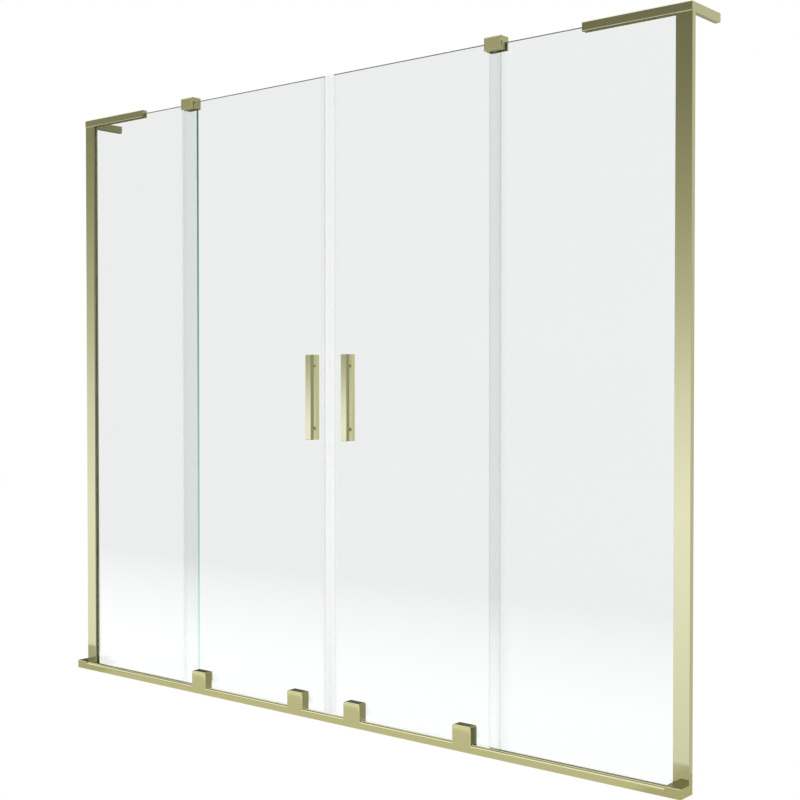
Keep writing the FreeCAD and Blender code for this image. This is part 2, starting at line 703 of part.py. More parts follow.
def build_trolley(side, name):
    """Trolley housing astride the rail, hollow for its roller, and the plate that clamps it to the glass."""
    place = side.trolleys[name]
    left, right = side.at(f"{place} - trolley_width / 2"), side.at(f"{place} + trolley_width / 2")
    across = side.span(f"{place} - trolley_width / 2", f"{place} + trolley_width / 2")
    screws = housing_screw_places(side, name)

    housing = new_body(f"{side.name}_{name}_trolley")
    face = rectangle(left, right, "trolley_tail", TROLLEY_TOP)
    extrude(housing, "y", TROLLEY_FRONT, TROLLEY_BACK, [face])
    dress(housing, "Fillet", "trolley_corner", {"x": left, "z": TROLLEY_TOP}, {"x": right, "z": TROLLEY_TOP})
    dress(housing, "Fillet", "trolley_round", {"y": TROLLEY_FRONT})
    roof = "(rail_height + trolley_clear)"
    inner_front, inner_back = f"({RAIL_FRONT} - trolley_clear)", f"({RAIL_BACK} + trolley_clear)"
    skirt = "(rail_height - rail_round - trolley_lap)"
    saddle = [
        (TROLLEY_FRONT, "0"), (TROLLEY_FRONT, skirt), (inner_front, skirt),
        (inner_front, roof), (inner_back, roof), (inner_back, "0"),
    ]
    cut(housing, "x", *across, [saddle])
    dress(housing, "Fillet", "rail_round + trolley_clear", {"y": inner_front, "z": roof})
    cut(housing, "x", *across, circles=[(BEAD_LINE, "rail_height", "bead_radius + trolley_clear")])
    half = "(roller_radius + roller_pocket)"
    well = rectangle(
        side.at(f"{place} - {half}"), side.at(f"{place} + {half}"), "rail_height", f"{AXLE_LEVEL} + {half}",
    )
    half_width = "(roller_width / 2 + roller_side_gap)"
    cut(housing, "y", f"{BEAD_LINE} - {half_width}", f"{BEAD_LINE} + {half_width}", [well])
    axle = (side.at(place), AXLE_LEVEL, "axle_radius")
    cut(housing, "y", f"{TROLLEY_FRONT} + axle_front_wall", TROLLEY_BACK, circles=[axle])
    holes = [(*screw, "trolley_screw_radius") for screw in screws]
    cut(housing, "y", f"{TROLLEY_BACK} - trolley_screw_grip", TROLLEY_BACK, circles=holes)

    plate = new_body(f"{side.name}_{name}_clamp_plate")
    outline = rectangle(
        side.at(f"{place} - {CLAMP_HALF}"), side.at(f"{place} + {CLAMP_HALF}"), CLAMP_BOTTOM, CLAMP_TOP,
    )
    extrude(plate, "y", CLAMP_FRONT, CLAMP_BACK, [outline])
    dress(plate, "Fillet", "clamp_round", {"y": CLAMP_BACK})
    cut(plate, "y", CLAMP_FRONT, CLAMP_BACK, circles=holes)
    sink = "trolley_screw_head_radius - trolley_screw_radius"
    dress(plate, "Chamfer", sink, {"y": CLAMP_BACK}, closed=True)


def build_trolley_fixings(side):
    """Pads each side of the glass, countersunk screws and roller axles of a door."""
    screws = trolley_screw_places(side)
    pads = new_body(f"{side.name}_trolley_pads")
    half = f"({CLAMP_HALF} - pad_inset)"
    outlines = [
        rectangle(
            side.at(f"{place} - {half}"), side.at(f"{place} + {half}"),
            f"{CLAMP_BOTTOM} + pad_inset", f"{CLAMP_TOP} - pad_inset",
        )
        for place in side.trolleys.values()
    ]
    holes = [(*screw, "trolley_screw_radius") for screw in screws]
    extrude(pads, "y", TROLLEY_BACK, DOOR_FRONT, outlines, holes)
    extrude(pads, "y", DOOR_BACK, CLAMP_FRONT, outlines, holes)

    screw = new_body(f"{side.name}_trolley_screws")
    shank = "trolley_screw_radius - thread_clear"
    head = "trolley_screw_head_radius - thread_clear"
    front = f"{TROLLEY_BACK} - trolley_screw_grip"
    extrude(screw, "y", front, CLAMP_BACK, circles=[(*place, shank) for place in screws])
    depth = "(trolley_screw_head_radius - trolley_screw_radius)"
    heads = [(*place, head) for place in screws]
    cones = extrude(screw, "y", f"{CLAMP_BACK} - {depth}", CLAMP_BACK, circles=heads)
    cones.TaperAngle = -45.0
    doc.recompute()
    keys = [hexagon(*place, "trolley_screw_key") for place in screws]
    cut(screw, "y", f"{CLAMP_BACK} - trolley_screw_key_depth", CLAMP_BACK, keys)

    axle = new_body(f"{side.name}_roller_axles")
    circles = [(side.at(place), AXLE_LEVEL, "axle_radius") for place in side.trolleys.values()]
    extrude(axle, "y", f"{TROLLEY_FRONT} + axle_front_wall", TROLLEY_BACK, circles=circles)


def build_roller(side, name):
    """Grooved wheel that runs on the bead of the rail."""
    roller = new_body(f"{side.name}_{name}_roller")
    half, bore = "roller_width / 2", "axle_radius + axle_clear"
    bevel = "roller_chamfer"
    section = [
        (f"-{half}", bore), (half, bore),
        (half, f"roller_radius - {bevel}"), (f"{half} - {bevel}", "roller_radius"),
        (f"-{half} + {bevel}", "roller_radius"), (f"-{half}", f"roller_radius - {bevel}"),
    ]
    turned = roller.newObject("PartDesign::Revolution", f"{roller.Label}_turned")
    turned.Profile = new_sketch(roller, "YZ_Plane", "0")
    draw_outline(turned.Profile[0], section)
    turned.ReferenceAxis = (turned.Profile[0], ["H_Axis"])
    turned.Angle = 360.0
    doc.recompute()
    groove = roller.newObject("PartDesign::Groove", f"{roller.Label}_groove")
    groove.Profile = new_sketch(roller, "YZ_Plane", "0")
    draw_circle(groove.Profile[0], "0", "roller_radius + roller_gap", "bead_radius + roller_gap")
    groove.ReferenceAxis = (groove.Profile[0], ["H_Axis"])
    groove.Angle = 360.0
    doc.recompute()
    for axis, text in (("x", side.at(side.trolleys[name])), ("y", BEAD_LINE), ("z", AXLE_LEVEL)):
        roller.setExpression(f"Placement.Base.{axis}", cells(text))
    doc.recompute()


build_rail()
build_frame_screws()
for half_screen in SIDES:
    build_end_block(half_screen)
    build_wall_profile(half_screen)
    build_fixed_pane(half_screen)
    build_top_bracket(half_screen)
    build_top_guide(half_screen)
    build_rail_stop(half_screen)
    build_door_glass(half_screen)
    build_handle(half_screen)
    build_door_seals(half_screen)
    for end_name in half_screen.trolleys:
        build_trolley(half_screen, end_name)
        build_roller(half_screen, end_name)
    build_trolley_fixings(half_screen)

doc.recompute()
for item in doc.Objects:
    if "Invalid" in item.State or "Error" in item.State:
        raise RuntimeError(f"{item.Label}: {item.State}")
for piece in pieces:
    if piece.Shape.isNull() or not piece.Shape.isValid():
        raise RuntimeError(f"{piece.Label}: shape is not valid")
os.makedirs("parts", exist_ok=True)
for piece in pieces:
    piece.Shape.exportStep(f"parts/{piece.Label}.step")
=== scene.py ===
"""Dresses the sliding bath screen and sets it in a plain white studio."""

import json
import logging
import math
from abc import ABC, abstractmethod
from collections.abc import Iterable, Sequence
from dataclasses import dataclass, field
from enum import Enum
from typing import Union

import bmesh
import bpy
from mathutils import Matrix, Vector


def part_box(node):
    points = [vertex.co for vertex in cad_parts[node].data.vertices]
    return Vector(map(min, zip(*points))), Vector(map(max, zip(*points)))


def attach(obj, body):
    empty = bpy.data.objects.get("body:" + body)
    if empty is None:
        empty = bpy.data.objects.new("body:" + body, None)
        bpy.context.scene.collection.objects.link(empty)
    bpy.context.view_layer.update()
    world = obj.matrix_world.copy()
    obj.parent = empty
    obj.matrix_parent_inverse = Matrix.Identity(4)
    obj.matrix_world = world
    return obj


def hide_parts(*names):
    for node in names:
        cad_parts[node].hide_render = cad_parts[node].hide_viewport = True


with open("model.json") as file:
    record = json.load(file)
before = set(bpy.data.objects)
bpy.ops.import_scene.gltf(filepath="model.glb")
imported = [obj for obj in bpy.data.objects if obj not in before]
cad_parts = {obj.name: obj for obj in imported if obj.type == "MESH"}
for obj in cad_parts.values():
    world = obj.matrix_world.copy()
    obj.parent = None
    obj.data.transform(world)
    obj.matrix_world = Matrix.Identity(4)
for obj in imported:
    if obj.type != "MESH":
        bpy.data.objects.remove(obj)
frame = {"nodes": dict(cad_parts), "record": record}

LOG = logging.getLogger("bath_screen")
CLEAR_LAYERS = 32
MILLIMETRE = 0.001
CREASE = math.radians(40.0)
MOST_OF_EDGE = 0.45

Colour = tuple[float, float, float]
Point = tuple[float, float, float]
Spot = tuple[float, float]
Span = tuple[float, float]
Outline = list[Spot]
Levels = tuple[tuple[float, float], ...]
Socket = bpy.types.NodeSocket
Setting = Union[float, Colour, Socket]

BLACK: Colour = (0.0, 0.0, 0.0)
WHITE: Colour = (1.0, 1.0, 1.0)


class Side(Enum):
    """The two halves of the screen, as seen from the room."""

    LEFT = "left"
    RIGHT = "right"

    @property
    def sign(self) -> int:
        """The way out from the middle, along X."""
        return -1 if self is Side.LEFT else 1


class Place(Enum):
    """Where a trolley sits on its door."""

    OUTER = "outer"
    INNER = "inner"


class Grain(Enum):
    """The way that a piece was brushed or drawn, as the stretch of its lines along X, Y and Z."""

    ALONG = (0.004, 1.0, 1.0)
    UPRIGHT = (1.0, 1.0, 0.004)
    NONE = (1.0, 1.0, 1.0)


class Run(Enum):
    """The way that a strip runs: the axes across its section, up it and along the strip."""

    ALONG = (1, 2, 0)
    DEEP = (0, 2, 1)
    UPRIGHT = (0, 1, 2)


@dataclass(frozen=True)
class Corner:
    """A corner of a section, and how far it is rounded off."""

    across: float
    up: float
    radius: float = 0.0


def rounded(corners: Sequence[Corner], steps: int = 5) -> Outline:
    """Rounds the corners of a section.

    Args:
        corners: The corners, in order round the section.
        steps: How many short edges make a round corner.

    Returns:
        The points of the outline.
    """
    outline: Outline = []
    for index, corner in enumerate(corners):
        tip = Vector((corner.across, corner.up))
        if not corner.radius:
            outline.append(tip.to_tuple())
            continue
        ends = []
        for other in (corners[index - 1], corners[(index + 1) % len(corners)]):
            way = Vector((other.across, other.up)) - tip
            ends.append(tip + way.normalized() * min(corner.radius, MOST_OF_EDGE * way.length))
        for step in range(steps + 1):
            share = step / steps
            bend = ends[0] * (1 - share) ** 2 + tip * 2 * share * (1 - share) + ends[1] * share ** 2
            outline.append(bend.to_tuple())
    return outline


def rectangle(across: Span, up: Span, radius: float) -> Outline:
    """Gives a rectangle with round corners.

    Args:
        across: Its two sides.
        up: Its bottom and top.
        radius: How far its corners are rounded off.

    Returns:
        The points of the outline.
    """
    ends = ((0, 0), (1, 0), (1, 1), (0, 1))
    return rounded([Corner(across[side], up[level], radius) for side, level in ends])


def circle(centre: Spot, radius: float, steps: int = 24) -> Outline:
    """Gives a circle.

    Args:
        centre: Its middle.
        radius: Its radius.
        steps: How many points it has.

    Returns:
        The points of the outline.
    """
    outline: Outline = []
    for step in range(steps):
        turn = math.tau * step / steps
        outline.append((centre[0] + radius * math.cos(turn), centre[1] + radius * math.sin(turn)))
    return outline


class Shape(ABC):
    """A solid that a piece is made of."""

    @abstractmethod
    def add_to(self, solid: bmesh.types.BMesh) -> None:
        """Adds the faces of the shape to a mesh."""


@dataclass(frozen=True)
class Strip(Shape):
    """A straight strip of one section, with any hollows that run through it."""

    outlines: Sequence[Outline]
    start: float
    end: float
    run: Run

    def add_to(self, solid: bmesh.types.BMesh) -> None:
        """Adds the faces of the shape to a mesh.

        Args:
            solid: The mesh.
        """
        rims: list[list[bmesh.types.BMEdge]] = [[], []]
        for outline in self.outlines:
            near = [solid.verts.new(self.point(spot, self.start)) for spot in outline]
            far = [solid.verts.new(self.point(spot, self.end)) for spot in outline]
            for index in range(len(outline)):
                solid.faces.new((near[index - 1], near[index], far[index], far[index - 1]))
                for rim, ring in zip(rims, (near, far)):
                    rim.append(solid.edges.get((ring[index - 1], ring[index])))
        for rim in rims:
            bmesh.ops.triangle_fill(solid, edges=rim, use_beauty=True)

    def point(self, spot: Spot, end: float) -> Vector:
        """Puts a point of the section in its place.

        Args:
            spot: The point, across and up the section.
            end: How far along the strip it is.

        Returns:
            The point in space.
        """
        place = Vector()
        for axis, value in zip(self.run.value, (*spot, end)):
            place[axis] = value
        return place


@dataclass(frozen=True)
class Button(Shape):
    """A small round cap that fills a hole, with its face towards a wall."""

    centre: Vector
    outward: int
    radius: float
    depth: float
    chamfer: float
    steps: int = 24

    def add_to(self, solid: bmesh.types.BMesh) -> None:
        """Adds the faces of the shape to a mesh.

        Args:
            solid: The mesh.
        """
        slim = self.radius - self.chamfer
        profile = (
            (-self.depth, slim),
            (self.chamfer - self.depth, self.radius),
            (-self.chamfer, self.radius),
            (0.0, slim),
        )
        rings = []
        for reach, radius in profile:
            outline = circle((self.centre.y, self.centre.z), radius, self.steps)
            face = self.centre.x + self.outward * reach
            rings.append([solid.verts.new((face, *spot)) for spot in outline])
        for near, far in zip(rings, rings[1:]):
            for index in range(self.steps):
                solid.faces.new((near[index - 1], near[index], far[index], far[index - 1]))
        solid.faces.new(rings[0])
        solid.faces.new(rings[-1])


def make_piece(name: str, shapes: Iterable[Shape]) -> bpy.types.Object:
    """Makes one piece of one or more solids.

    Args:
        name: The piece's name.
        shapes: Its solids.

    Returns:
        The piece.
    """
    solid = bmesh.new()
    for shape in shapes:
        shape.add_to(solid)
    bmesh.ops.recalc_face_normals(solid, faces=solid.faces)
    mesh = bpy.data.meshes.new(name)
    solid.to_mesh(mesh)
    solid.free()
    mesh.shade_smooth()
    mesh.set_sharp_from_angle(angle=CREASE)
    piece = bpy.data.objects.new(name, mesh)
    bpy.context.scene.collection.objects.link(piece)
    return piece


class Bench:
    """Lays out the nodes of one finish."""

    # The sockets of a mix node that hold colours.
    MIX_DARK = 6
    MIX_LIGHT = 7
    MIX_RESULT = 2

    def __init__(self, tree: bpy.types.NodeTree) -> None:
        """Starts from an empty tree of a material or a world."""
        self.tree = tree
        self.tree.nodes.clear()

    def node(self, kind: str, settings: dict[str, object] | None = None,
             **sockets: Setting) -> bpy.types.Node:
        """Adds a node, sets its options and feeds its inputs.

        Args:
            kind: The node's type.
            settings: Options of the node itself.
            **sockets: Values or links for the inputs, with _ for a space in their names.

        Returns:
            The new node.
        """
        made = self.tree.nodes.new(kind)
        for name, value in (settings or {}).items():
            setattr(made, name, value)
        for name, value in sockets.items():
            self.feed(made.inputs[name.replace("_", " ")], value)
        return made

    def feed(self, socket: Socket, value: Setting) -> None:
        """Links a socket to another one, or sets its value.

        Args:
            socket: The input to set.
            value: A number, a colour or an output to link.
        """
        if isinstance(value, bpy.types.NodeSocket):
            self.tree.links.new(value, socket)
        elif isinstance(value, tuple) and len(socket.default_value) == 4:
            socket.default_value = (*value, 1.0)
        else:
            socket.default_value = value

    def math(self, operation: str, *numbers: Setting) -> Socket:
        """Works out one sum.

        Args:
            operation: The sum's name.
            *numbers: What goes into it, in order.

        Returns:
            The result.
        """
        made = self.node("ShaderNodeMath", {"operation": operation})
        for socket, number in zip(made.inputs, numbers):
            self.feed(socket, number)
        return made.outputs[0]

    def height(self) -> Socket:
        """Gives the share of the piece's height, from 0 at its foot to 1 at its top."""
        place = self.node("ShaderNodeTexCoord").outputs["Generated"]
        return self.node("ShaderNodeSeparateXYZ", Vector=place).outputs["Z"]

    def spread(self, value: Socket, low: float, high: float, start: float = 0.0,
               end: float = 1.0) -> Socket:
        """Stretches a value from one range to another.

        Args:
            value: What to stretch.
            low: The result at the start.
            high: The result at the end.
            start: The value that gives low.
            end: The value that gives high.

        Returns:
            The stretched value.
        """
        made = self.node("ShaderNodeMapRange", Value=value, From_Min=start, From_Max=end,
                         To_Min=low, To_Max=high)
        return made.outputs[0]

    def shade(self, value: Socket, dark: Setting, light: Setting) -> Socket:
        """Mixes two colours by a value.

        Args:
            value: The share of the light colour.
            dark: The colour at 0.
            light: The colour at 1.

        Returns:
            The mixed colour.
        """
        made = self.node("ShaderNodeMix", {"data_type": "RGBA"})
        self.feed(made.inputs[0], value)
        self.feed(made.inputs[self.MIX_DARK], dark)
        self.feed(made.inputs[self.MIX_LIGHT], light)
        return made.outputs[self.MIX_RESULT]

    def noise(self, per_metre: float, stretch: Point = Grain.NONE.value,
              detail: float = 3.0) -> Socket:
        """Makes a random field on the piece's own coordinates.

        Args:
            per_metre: How many spots there are on a metre.
            stretch: The share of that count along X, Y and Z.
            detail: How many finer layers are added.

        Returns:
            A value from 0 to 1.
        """
        place = self.node("ShaderNodeTexCoord").outputs["Object"]
        scaled = self.node("ShaderNodeMapping", Vector=place, Scale=stretch)
        made = self.node("ShaderNodeTexNoise", Vector=scaled.outputs[0], Scale=per_metre,
                         Detail=detail)
        return made.outputs["Fac"]

    def relief(self, height: Socket, depth: float, strength: float) -> Socket:
        """Turns a height from 0 to 1 into a bumpy normal, with its depth in metres."""
        made = self.node("ShaderNodeBump", Height=height, Distance=depth, Strength=strength)
        return made.outputs["Normal"]

    def layer(self, share: Setting, under: Socket, over: Socket) -> Socket:
        """Lays one shader over another.

        Args:
            share: How much of the upper one is seen.
            under: The lower shader.
            over: The upper shader.

        Returns:
            The mixed shader.
        """
        made = self.node("ShaderNodeMixShader", Fac=share)
        self.feed(made.inputs[1], under)
        self.feed(made.inputs[2], over)
        return made.outputs[0]

    def skin(self, ior: float, most: float) -> Socket:
        """Works out the share that a clear skin mirrors: more at a slant, up to the most given."""
        return self.math("MINIMUM", self.node("ShaderNodeFresnel", IOR=ior).outputs[0], most)

    def surface(self, shader: Socket) -> None:
        """Makes a shader the surface of the finish."""
        self.node("ShaderNodeOutputMaterial", Surface=shader)


@dataclass(frozen=True)
class Finish(ABC):
    """How a surface looks."""

    name: str

    @abstractmethod
    def lay(self, bench: Bench) -> None:
        """Lays out the finish's nodes."""

    def material(self) -> bpy.types.Material:
        """Makes the material, or finds it if it is there already.

        Returns:
            The material.
        """
        found = bpy.data.materials.get(self.name)
        if found:
            return found
        made = bpy.data.materials.new(self.name)
        made.use_nodes = True
        self.lay(Bench(made.node_tree))
        return made


@dataclass(frozen=True)
class Brushed(Finish):
    """Metal with fine scratches along its length under a thin clear anodised layer."""

    grain: Grain = Grain.NONE
    light: Colour = (0.66, 0.635, 0.355)
    dark: Colour = (0.61, 0.585, 0.320)
    roughness: Span = (0.28, 0.36)
    scratches_per_metre: float = 1500.0
    clouds_per_metre: float = 7.0
    cloud_detail: float = 2.0
    scratch_share: float = 0.6
    scratch_depth: float = 0.00004
    scratch_strength: float = 0.10
    crown: float = 0.0
    lean: float = 0.0

    def lay(self, bench: Bench) -> None:
        """Lays out the finish's nodes.

        Args:
            bench: Where the nodes go.
        """
        scratches = bench.noise(self.scratches_per_metre, self.grain.value)
        clouds = bench.noise(self.clouds_per_metre, detail=self.cloud_detail)
        faint = bench.math("MULTIPLY", clouds, 1.0 - self.scratch_share)
        worn = bench.math("MULTIPLY_ADD", scratches, self.scratch_share, faint)
        relief = bench.relief(scratches, self.scratch_depth, self.scratch_strength)
        metal = bench.node(
            "ShaderNodeBsdfPrincipled",
            Base_Color=bench.shade(worn, self.dark, self.light),
            Metallic=1.0,
            Roughness=bench.spread(worn, *self.roughness),
            Normal=self.bow(bench, relief),
        )
        bench.surface(metal.outputs[0])

    def bow(self, bench: Bench, normal: Socket) -> Socket:
        """Bows the face of a bar a little from end to end, as a polished bar is.

        Args:
            bench: Where the nodes go.
            normal: The way that the flat face looks.

        Returns:
            The way that the bowed face looks.
        """
        if not self.crown:
            return normal
        tip = bench.spread(bench.height(), self.lean - self.crown, self.lean + self.crown)
        lean = bench.node("ShaderNodeCombineXYZ", Z=tip).outputs[0]
        bowed = bench.node("ShaderNodeVectorMath", {"operation": "ADD"})
        bench.feed(bowed.inputs[0], normal)
        bench.feed(bowed.inputs[1], lean)
        return bowed.outputs[0]


@dataclass(frozen=True)
class ClearGlass(Finish):
    """Toughened float glass: clear through its faces, sea green through its polished edges."""

    faint: Colour = (0.9606, 0.9715, 0.9680)
    clear: Colour = (0.9666, 0.9775, 0.9740)
    # Painted shade: tints that darken the pane only for rays that a metal face mirrors through it.
    mirrored: Colour = (0.703, 0.703, 0.685)
    painted_shade_from_behind: Colour = (0.88, 0.88, 0.87)
    most_gloss: float = 0.053
    ior: float = 1.5
    pale_lit_edge: Colour = (0.557, 0.93, 0.86)
    deep_shaded_edge: Colour = (0.084, 0.18, 0.157)
    far_edge: Colour = (0.88, 0.895, 0.89)
    shaded_dark_top: Colour = (0.18, 0.20, 0.195)
    shaded_pale_top: Colour = (0.25, 0.27, 0.265)
    top_roughness: float = 0.4
    face_limit: float = 0.95
    top_limit: float = 0.499
    middle: float = 0.5
    waves_per_metre: float = 4.0
    wave_detail: float = 1.0
    streaks_per_metre: float = 300.0
    streak_share: float = 0.08

    def lay(self, bench: Bench) -> None:
        """Lays out the finish's nodes.

        Args:
            bench: Where the nodes go.
        """
        waves = bench.noise(self.waves_per_metre, Grain.ALONG.value, detail=self.wave_detail)
        shape = bench.node("ShaderNodeNewGeometry").outputs
        facing = bench.node("ShaderNodeSeparateXYZ", Vector=shape["True Normal"]).outputs
        # Painted shade: for rays that a metal face mirrors, the see-through tint is darkened, more
        # for rays going towards the back, so reflections seen through the pane come out dimmer.
        in_metal = bench.node("ShaderNodeLightPath").outputs["Is Glossy Ray"]
        outward = bench.math("GREATER_THAN", facing["Y"], 0.0)
        painted_reflection_shade = bench.shade(outward, self.mirrored, self.painted_shade_from_behind)
        tint = bench.shade(in_metal, bench.shade(waves, self.faint, self.clear), painted_reflection_shade)
        see_through = bench.node("ShaderNodeBsdfTransparent", Color=tint).outputs[0]
        mirror = bench.node("ShaderNodeBsdfGlossy", Roughness=0.0).outputs[0]
        # The pane itself mirrors only what is seen straight on it, not within another reflection.
        direct = bench.math("SUBTRACT", 1.0, in_metal)
        share = bench.math("MULTIPLY", bench.skin(self.ior, self.most_gloss), direct)
        face = bench.layer(share, see_through, mirror)
        on_face = bench.math("GREATER_THAN", bench.math("ABSOLUTE", facing["Y"]), self.face_limit)
        height = bench.height()
        off_middle = bench.math("ABSOLUTE", bench.math("SUBTRACT", height, self.middle))
        on_top = bench.math("GREATER_THAN", off_middle, self.top_limit)
        streaks = bench.noise(self.streaks_per_metre)
        near_edge = self.side_edge(bench, streaks, height)
        far_edge = bench.node("ShaderNodeBsdfTransparent", Color=self.far_edge).outputs[0]
        side_edge = bench.layer(shape["Backfacing"], near_edge, far_edge)
        edge = bench.layer(on_top, side_edge, self.top_edge(bench, streaks))
        bench.surface(bench.layer(on_face, edge, face))

    def side_edge(self, bench: Bench, streaks: Socket, height: Socket) -> Socket:
        """Lays out the upright edges: their own sea green, with painted shade that makes them
        deeper green towards the top.

        Args:
            bench: Where the nodes go.
            streaks: Fine marks of the polishing wheel.
            height: The share of the pane's height.

        Returns:
            The edge's shader.
        """
        marks = bench.spread(streaks, -self.streak_share, self.streak_share)
        # Painted shade: the edge's sea green darkens with height, lighter at the foot and deeper at
        # the top.
        green = bench.shade(bench.math("ADD", height, marks), self.pale_lit_edge, self.deep_shaded_edge)
        return bench.node("ShaderNodeBsdfTransparent", Color=green).outputs[0]

    def top_edge(self, bench: Bench, streaks: Socket) -> Socket:
        """Lays out the top and bottom edges as painted shade: an opaque dark grey in place of the
        clear glass.

        Args:
            bench: Where the nodes go.
            streaks: Fine marks of the polishing wheel.

        Returns:
            The edge's shader.
        """
        # Painted shade: an opaque dark grey stands in for how dark the polished top and bottom
        # edges look.
        grey = bench.shade(streaks, self.shaded_dark_top, self.shaded_pale_top)
        edge = bench.node("ShaderNodeBsdfPrincipled", Base_Color=grey, Roughness=self.top_roughness)
        return edge.outputs[0]


@dataclass(frozen=True)
class ClearVinyl(Finish):
    """Clear pressed-out vinyl with faint draw lines, milky where something white is in it."""

    cloudy: Colour = (0.992, 0.994, 0.993)
    clear: Colour = (0.998, 0.999, 0.999)
    most_gloss: float = 0.02
    ior: float = 1.5
    roughness: Span = (0.08, 0.18)
    lines_per_metre: float = 900.0
    line_depth: float = 0.00005
    line_strength: float = 0.08
    grain: Grain = Grain.UPRIGHT
    milk: float = 0.0

    def lay(self, bench: Bench) -> None:
        """Lays out the finish's nodes.

        Args:
            bench: Where the nodes go.
        """
        lines = bench.noise(self.lines_per_metre, self.grain.value)
        tint = bench.shade(lines, self.cloudy, self.clear)
        body = bench.node("ShaderNodeBsdfTransparent", Color=tint).outputs[0]
        if self.milk:
            white = bench.node("ShaderNodeBsdfDiffuse", Color=tint).outputs[0]
            body = bench.layer(self.milk, body, white)
        gloss = bench.node(
            "ShaderNodeBsdfGlossy",
            Roughness=bench.spread(lines, *self.roughness),
            Normal=bench.relief(lines, self.line_depth, self.line_strength),
        )
        share = bench.skin(self.ior, self.most_gloss)
        bench.surface(bench.layer(share, body, gloss.outputs[0]))


@dataclass(frozen=True)
class Moulded(Finish):
    """Rubber, nylon or pressed ferrite: an even colour with a fine speckle and a matt skin."""

    dark: Colour = (0.05, 0.05, 0.05)
    light: Colour = (0.08, 0.08, 0.08)
    roughness: Span = (0.5, 0.7)
    speckles_per_metre: float = 1800.0
    speckle_depth: float = 0.00006
    speckle_strength: float = 0.25

    def lay(self, bench: Bench) -> None:
        """Lays out the finish's nodes.

        Args:
            bench: Where the nodes go.
        """
        speckle = bench.noise(self.speckles_per_metre)
        body = bench.node(
            "ShaderNodeBsdfPrincipled",
            Base_Color=bench.shade(speckle, self.dark, self.light),
            Roughness=bench.spread(speckle, *self.roughness),
            Normal=bench.relief(speckle, self.speckle_depth, self.speckle_strength),
        )
        bench.surface(body.outputs[0])


POLISHED = {"light": (0.82, 0.80, 0.54), "dark": (0.78, 0.76, 0.50)}
GUIDE_GOLD = Brushed(
    "satin_gold_along", Grain.ALONG, light=(0.74, 0.71, 0.40), dark=(0.69, 0.66, 0.365),
    roughness=(0.30, 0.38),
)
RAIL_GOLD = Brushed(
    "burnished_gold_along", Grain.ALONG, light=(0.87, 0.845, 0.495), dark=(0.82, 0.795, 0.46),
    roughness=(0.08, 0.14),
)
UPRIGHT_GOLD = Brushed("polished_gold_upright", Grain.UPRIGHT, roughness=(0.06, 0.10), **POLISHED)
BRACKET_GOLD = Brushed("polished_gold_along", Grain.ALONG, roughness=(0.08, 0.12), **POLISHED)
HANDLE_GOLD = Brushed(
    "polished_gold_handle", Grain.UPRIGHT, light=(0.88, 0.865, 0.60), dark=(0.85, 0.835, 0.57),
    roughness=(0.08, 0.12), crown=0.055,
)
# Painted highlight: the rear handle's gold is a lighter copy of the handle gold, so that it reads
# bright behind the pane.
LIT_REAR_GOLD = Brushed(
    "lit_polished_gold_rear_handle", Grain.UPRIGHT, light=(0.97, 0.95, 0.57), dark=(0.93, 0.91, 0.53),
    roughness=(0.10, 0.15), crown=0.02, lean=-0.03,
)
STEEL = Brushed("stainless_steel", Grain.NONE, light=(0.66, 0.65, 0.62), dark=(0.52, 0.51, 0.49))
FIXED_GLASS = ClearGlass("clear_fixed_glass")
DOOR_GLASS = ClearGlass(
    "clear_door_glass", pale_lit_edge=(0.84, 0.90, 0.88), deep_shaded_edge=(0.76, 0.82, 0.80),
    far_edge=(0.935, 0.945, 0.94),
)
VINYL = ClearVinyl("clear_vinyl_upright")
VINYL_ALONG = ClearVinyl("clear_vinyl_along", grain=Grain.ALONG)
MILKY_VINYL = ClearVinyl("milky_vinyl_upright", milk=0.06)
CLEAR_NYLON = ClearVinyl("clear_nylon", grain=Grain.NONE)
RUBBER = Moulded("olive_rubber", dark=(0.150, 0.146, 0.080), light=(0.200, 0.195, 0.110))
# Painted light: the gasket is a lighter copy of the olive rubber, to lift the shade in the channel
# where it sits.
LIGHTENED_GASKET = Moulded("lightened_olive_gasket", dark=(0.34, 0.33, 0.20), light=(0.44, 0.43, 0.27))
NYLON = Moulded(
    "white_nylon", dark=(0.74, 0.74, 0.71), light=(0.84, 0.84, 0.82), roughness=(0.34, 0.48),
)
GOLD_NYLON = Moulded(
    "gold_nylon", dark=(0.62, 0.60, 0.37), light=(0.72, 0.70, 0.44), roughness=(0.34, 0.48),
)
BRONZE_NYLON = Moulded(
    "bronze_nylon", dark=(0.30, 0.28, 0.16), light=(0.38, 0.36, 0.21), roughness=(0.3, 0.45),
)


@dataclass
class Assembly(ABC):
    """Pieces that are fitted together and dressed together."""

    nodes: dict[str, bpy.types.Object] = field(default_factory=lambda: frame["nodes"])

    @abstractmethod
    def build(self) -> None:
        """Builds the meshes of the assembly's soft and small pieces."""

    @abstractmethod
    def dress(self) -> None:
        """Gives every other piece of the assembly its finish."""

    def finish(self, name: str, finish: Finish, in_glass: bool = True) -> None:
        """Gives a piece its finish.

        Args:
            name: The piece.
            finish: How its surface looks.
            in_glass: Whether the panes mirror it.
        """
        piece = self.nodes[name]
        piece.visible_glossy = in_glass
        piece.data.materials.clear()
        piece.data.materials.append(finish.material())
        LOG.info("%s: %s", name, finish.name)

    def fit(self, piece: bpy.types.Object, body: str, slot: str, finish: Finish,
            in_glass: bool = True) -> None:
        """Seats a new piece on a body and gives it its finish.

        Args:
            piece: The piece.
            body: What carries it.
            slot: The material that it is made of; not used.
            finish: How its surface looks.
            in_glass: Whether the panes mirror it.
        """
        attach(piece, body)
        piece.visible_glossy = in_glass
        piece.data.materials.append(finish.material())
        LOG.info("%s: %s, on %s", piece.name, finish.name, body)


